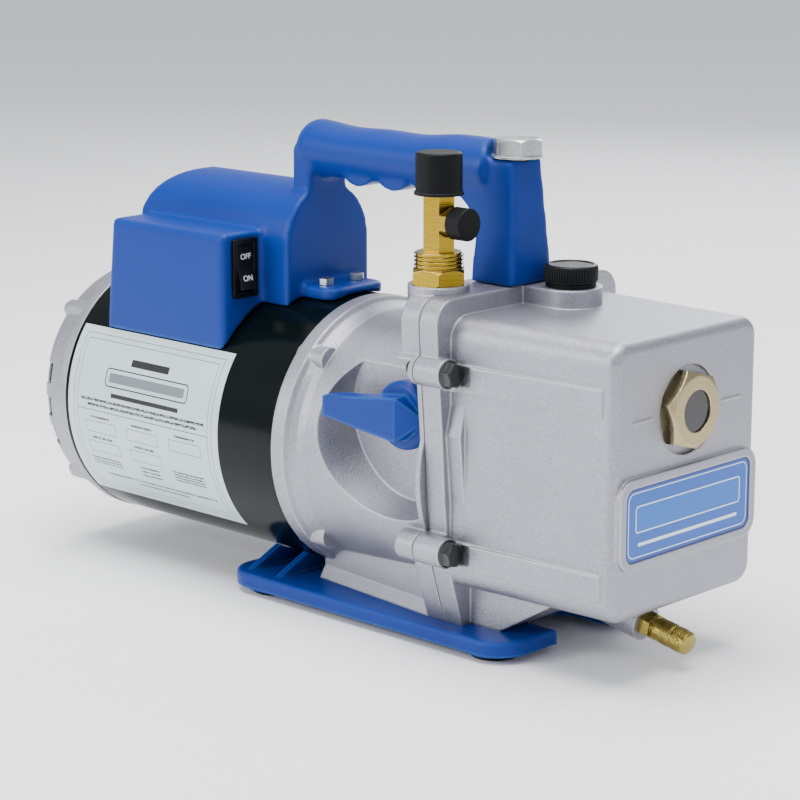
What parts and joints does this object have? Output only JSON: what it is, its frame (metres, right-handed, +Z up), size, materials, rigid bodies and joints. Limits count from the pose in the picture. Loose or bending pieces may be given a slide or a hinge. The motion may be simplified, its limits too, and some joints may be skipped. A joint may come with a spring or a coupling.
{
  "type": "hvac vacuum pump",
  "caption": "Portable two-stage rotary-vane vacuum pump with electric motor, carrying handle, valved intake tee, oil sight glass and drain.",
  "frame": {"origin": "on the bench, under the middle of the pump's bounding box", "axes": "+X along the shaft from the motor to the oil cover, +Y across, +Z up"},
  "size_m": [0.4026, 0.143, 0.2458],
  "materials": {
    "cast_aluminium": "shot-blasted aluminium casting",
    "blue_plastic": "moulded plastic with a soft sheen",
    "black_enamel": "gloss black enamel",
    "label_foil": "printed silver-white foil",
    "nameplate_blue": "printed aluminium plate",
    "fitting_brass": "machined brass",
    "sight_brass": "pale plated brass",
    "drain_brass": "machined brass",
    "sight_lens": "clear glass over dark oil",
    "black_rubber": "moulded black rubber",
    "black_plastic": "moulded black plastic",
    "zinc_steel": "bright zinc plating",
    "black_steel": "black oxide steel",
    "turned_steel": "ground steel",
    "lamination_steel": "stacked silicon steel",
    "cast_iron": "machined cast iron",
    "copper_wire": "varnished copper wire",
    "vane_composite": "carbon composite",
    "fan_plastic": "moulded nylon",
    "gasket_sheet": "compressed fibre sheet",
    "capacitor_can": "phenolic can"
  },
  "bodies": {
    "pump_body": {"pump_housing": "cast_aluminium", "front_cover": "cast_aluminium", "motor_end_bell": "cast_aluminium", "bearing_bracket": "cast_aluminium", "base_plate": "blue_plastic", "handle_shroud": "blue_plastic", "motor_shell": "black_enamel", "motor_label": "label_foil", "nameplate": "nameplate_blue", "intake_adapter": "fitting_brass", "intake_tee": "fitting_brass", "valve_bonnet": "fitting_brass", "exhaust_bush": "fitting_brass", "sight_glass_body": "sight_brass", "drain_valve_body": "drain_brass", "sight_glass_lens": "sight_lens", "rubber_feet": "black_rubber", "sight_glass_seal": "black_rubber", "shaft_seal": "black_rubber", "switch_body": "black_plastic", "power_inlet": "black_plastic", "handle_screws": "zinc_steel", "base_screws": "zinc_steel", "tie_bolts": "zinc_steel", "cartridge_bolts": "zinc_steel", "capacitor_clamp": "zinc_steel", "intake_screen": "zinc_steel", "cover_bolts": "black_steel", "bearing_outer_races": "turned_steel", "bearing_balls": "turned_steel", "exhaust_valve": "turned_steel", "stator_core": "lamination_steel", "pump_stators": "cast_iron", "cartridge_plates": "cast_iron", "stator_windings": "copper_wire", "cover_gasket": "gasket_sheet", "start_capacitor": "capacitor_can"},
    "rotating_group": {"motor_shaft": "turned_steel", "rotor_core": "lamination_steel", "cooling_fan": "fan_plastic", "bearing_inner_races": "turned_steel", "motor_coupling_hub": "cast_iron", "coupling_spider": "black_rubber", "pump_coupling_hub": "cast_iron", "pump_shaft": "turned_steel", "pump_rotors": "cast_iron", "pump_vanes": "vane_composite"},
    "isolating_valve": {"valve_lever": "blue_plastic", "valve_plug": "fitting_brass"},
    "rocker": {"switch_rocker": "black_plastic"},
    "fill_cap_lift": {"fill_cap_seal": "black_rubber"},
    "fill_cap_screw": {"fill_cap": "black_plastic"},
    "drain_cap_lift": {"drain_seal": "black_rubber"},
    "drain_cap_screw": {"drain_cap": "drain_brass"},
    "intake_top_cap_lift": {"intake_top_seal": "black_rubber"},
    "intake_top_cap_screw": {"intake_top_cap": "black_rubber"},
    "intake_side_cap_lift": {"intake_side_seal": "black_rubber"},
    "intake_side_cap_screw": {"intake_side_cap": "black_rubber"},
    "exhaust_cap_lift": {"exhaust_cap_washer": "zinc_steel"},
    "exhaust_cap_screw": {"exhaust_cap": "zinc_steel"}
  },
  "joints": [
    {"name": "shaft_spin", "type": "hinge", "parent": "pump_body", "child": "rotating_group", "pos_m": [-0.0043, 0, 0.0845], "axis": [1, 0, 0], "continuous": true},
    {"name": "valve_turn", "type": "hinge", "parent": "pump_body", "child": "isolating_valve", "pos_m": [0.0647, -0.05, 0.113], "axis": [0, -1, 0], "range_deg": [0, 90]},
    {"name": "rocker_tilt", "type": "hinge", "parent": "pump_body", "child": "rocker", "pos_m": [-0.0618, -0.0425, 0.1693], "axis": [0, 1, 0], "range_deg": [0, 18]},
    {"name": "fill_cap_rise", "type": "slide", "parent": "pump_body", "child": "fill_cap_lift", "axis": [0, 0, 1], "range_m": [0, 0.01]},
    {"name": "fill_cap_turn", "type": "hinge", "parent": "fill_cap_lift", "child": "fill_cap_screw", "pos_m": [0.1152, 0.0102, 0.1795], "axis": [0, 0, 1], "range_deg": [0, 1440]},
    {"name": "drain_cap_rise", "type": "slide", "parent": "pump_body", "child": "drain_cap_lift", "axis": [0.9799, 0, -0.1994], "range_m": [0, 0.008]},
    {"name": "drain_cap_turn", "type": "hinge", "parent": "drain_cap_lift", "child": "drain_cap_screw", "pos_m": [0.1737, 0, 0.0192], "axis": [0.9799, 0, -0.1994], "range_deg": [0, 2880]},
    {"name": "intake_top_cap_rise", "type": "slide", "parent": "pump_body", "child": "intake_top_cap_lift", "axis": [0, 0, 1], "range_m": [0, 0.00889]},
    {"name": "intake_top_cap_turn", "type": "hinge", "parent": "intake_top_cap_lift", "child": "intake_top_cap_screw", "pos_m": [0.0772, -0.0435, 0.2345], "axis": [0, 0, 1], "range_deg": [0, 2520]},
    {"name": "intake_side_cap_rise", "type": "slide", "parent": "pump_body", "child": "intake_side_cap_lift", "axis": [1, 0, 0], "range_m": [0, 0.00635]},
    {"name": "intake_side_cap_turn", "type": "hinge", "parent": "intake_side_cap_lift", "child": "intake_side_cap_screw", "pos_m": [0.0907, -0.0435, 0.2088], "axis": [1, 0, 0], "range_deg": [0, 1800]},
    {"name": "exhaust_cap_rise", "type": "slide", "parent": "pump_body", "child": "exhaust_cap_lift", "axis": [0, 0, 1], "range_m": [0, 0.009]},
    {"name": "exhaust_cap_turn", "type": "hinge", "parent": "exhaust_cap_lift", "child": "exhaust_cap_screw", "pos_m": [0.0887, 0, 0.2405], "axis": [0, 0, 1], "range_deg": [0, 2160]}
  ],
  "couplings": [
    {"joint": "fill_cap_rise", "follows": "fill_cap_turn", "m_per_rad": 0.00039789},
    {"joint": "drain_cap_rise", "follows": "drain_cap_turn", "m_per_rad": 0.00015915},
    {"joint": "intake_top_cap_rise", "follows": "intake_top_cap_turn", "m_per_rad": 0.00020213},
    {"joint": "intake_side_cap_rise", "follows": "intake_side_cap_turn", "m_per_rad": 0.00020213},
    {"joint": "exhaust_cap_rise", "follows": "exhaust_cap_turn", "m_per_rad": 0.00023873}
  ]
}
